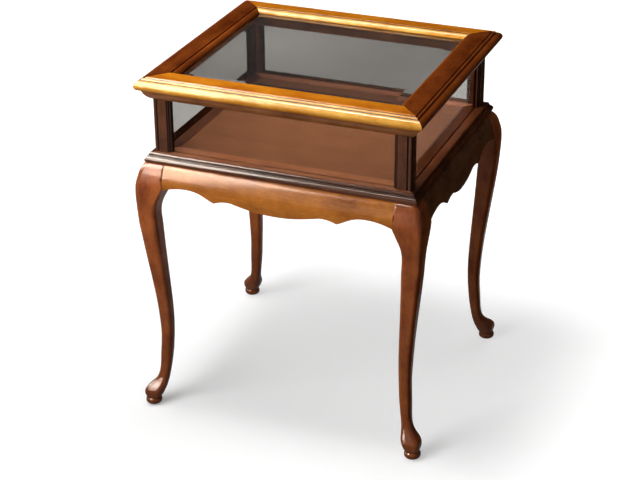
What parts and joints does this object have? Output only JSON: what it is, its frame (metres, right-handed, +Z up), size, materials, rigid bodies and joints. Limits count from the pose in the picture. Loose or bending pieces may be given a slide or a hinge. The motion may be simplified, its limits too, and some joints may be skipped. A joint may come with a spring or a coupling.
{
  "type": "collectors display table",
  "caption": "Glazed wooden display case with a hinged, bevelled glass lid on cabriole legs with pad feet and scalloped aprons",
  "frame": {"origin": "on the floor, under the middle of the table", "axes": "+Z up, +X to the right when facing the front, +Y towards the back, where the hinges are; the front faces -Y"},
  "size_m": [0.5282, 0.477, 0.635],
  "materials": {
    "polished_wood": "glossy reddish brown stain and lacquer",
    "block_wood": "plain unfinished hardwood",
    "floor_veneer": "satin reddish brown veneer with lengthwise grain",
    "clear_glass": "clear polished float glass, bevelled in the lid",
    "brass": "satin brass",
    "zinc_steel": "zinc plated steel",
    "felt": "dark brown felt",
    "nylon": "brown nylon"
  },
  "bodies": {
    "table": {"leg_front_left": "polished_wood", "leg_front_right": "polished_wood", "leg_back_left": "polished_wood", "leg_back_right": "polished_wood", "apron_front": "polished_wood", "apron_back": "polished_wood", "apron_left": "polished_wood", "apron_right": "polished_wood", "base_rail_front": "polished_wood", "base_rail_back": "polished_wood", "base_rail_left": "polished_wood", "base_rail_right": "polished_wood", "post_front_left": "polished_wood", "post_front_right": "polished_wood", "post_back_left": "polished_wood", "post_back_right": "polished_wood", "case_top_rail_front": "polished_wood", "case_top_rail_back": "polished_wood", "case_top_rail_left": "polished_wood", "case_top_rail_right": "polished_wood", "corner_blocks": "block_wood", "base_mitre_keys": "block_wood", "post_dowels": "block_wood", "case_top_mitre_keys": "block_wood", "display_floor": "floor_veneer", "side_glass_front": "clear_glass", "side_glass_back": "clear_glass", "side_glass_left": "clear_glass", "side_glass_right": "clear_glass", "hinge_case_leaf_left": "brass", "hinge_case_leaf_right": "brass", "hinge_pins": "brass", "hinge_case_screws": "brass", "corner_block_screws": "zinc_steel", "stand_to_case_screws": "zinc_steel", "leg_hanger_bolts": "zinc_steel", "leg_bolt_washers": "zinc_steel", "leg_bolt_nuts": "zinc_steel", "lid_felt_dots": "felt", "foot_glides": "nylon"},
    "lid": {"lid_rail_front": "polished_wood", "lid_rail_back": "polished_wood", "lid_rail_left": "polished_wood", "lid_rail_right": "polished_wood", "lid_mitre_keys": "block_wood", "lid_glass": "clear_glass", "lid_glass_stops": "polished_wood", "hinge_lid_leaf_left": "brass", "hinge_lid_leaf_right": "brass", "hinge_lid_screws": "brass"}
  },
  "joints": [
    {"name": "lid_hinge", "type": "hinge", "parent": "table", "child": "lid", "pos_m": [0, 0.2226, 0.6127], "axis": [-1, 0, 0], "range_deg": [0, 95]}
  ]
}
